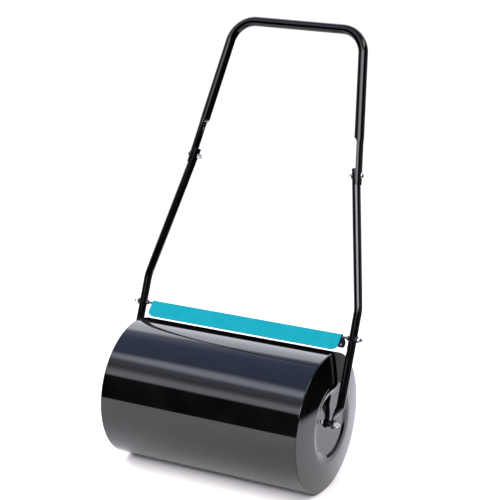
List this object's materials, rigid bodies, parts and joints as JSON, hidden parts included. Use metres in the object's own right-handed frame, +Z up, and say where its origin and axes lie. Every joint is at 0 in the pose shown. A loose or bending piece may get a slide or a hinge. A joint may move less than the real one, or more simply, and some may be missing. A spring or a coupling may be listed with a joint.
{
  "type": "walk-behind lawn roller",
  "caption": "Hand-pushed lawn roller: fillable steel drum between two bent tube arms, a bolted-on U-shaped push handle and a swinging scraper blade along the drum.",
  "frame": {"origin": "on the ground, below the middle of the drum's axis, on the barrel's lowest flat", "axes": "+X along the drum's axis towards its right end, +Y back, the way the handle leans, +Z up"},
  "size_m": [0.59, 0.5207, 0.9889],
  "materials": {
    "black_paint": "gloss",
    "zinc": "bright zinc",
    "black_plastic": "satin",
    "seal_rubber": "matte",
    "turquoise_paint": "satin",
    "dark_blue_paint": "satin"
  },
  "bodies": {
    "push_frame": {"upper_handle": "black_paint", "lower_arm_left": "black_paint", "lap_bolt_left": "zinc", "lap_washer_left": "zinc", "lap_nut_left": "zinc", "hub_bush_left": "black_plastic", "saddle_washer_left": "black_plastic", "lower_arm_right": "black_paint", "lap_bolt_right": "zinc", "lap_washer_right": "zinc", "lap_nut_right": "zinc", "hub_bush_right": "black_plastic", "saddle_washer_right": "black_plastic"},
    "drum": {"drum_shell": "black_paint", "end_plate_left": "black_paint", "end_plate_right": "black_paint", "filler_socket": "black_paint", "axle_stub_left": "zinc", "hub_washer_left": "black_plastic", "hub_nut_left": "zinc", "axle_stub_right": "zinc", "hub_washer_right": "black_plastic", "hub_nut_right": "zinc"},
    "filler": {"filler_plug": "black_plastic", "plug_seal": "seal_rubber"},
    "scraper": {"scraper_blade": "turquoise_paint", "scraper_bracket_left": "dark_blue_paint", "pivot_bolt_left": "zinc", "pivot_inner_nut_left": "zinc", "pivot_outer_nut_left": "zinc", "scraper_bracket_right": "dark_blue_paint", "pivot_bolt_right": "zinc", "pivot_inner_nut_right": "zinc", "pivot_outer_nut_right": "zinc"}
  },
  "joints": [
    {"name": "drum_spin", "type": "hinge", "parent": "push_frame", "child": "drum", "pos_m": [0, 0, 0.16], "axis": [1, 0, 0], "continuous": true},
    {"name": "filler_draw", "type": "slide", "parent": "drum", "child": "filler", "axis": [-1, 0, 0], "range_m": [0, 0.05]},
    {"name": "scraper_swing", "type": "hinge", "parent": "push_frame", "child": "scraper", "pos_m": [0, 0.07647, 0.33884], "axis": [1, 0, 0], "range_deg": [-120, 10]}
  ]
}
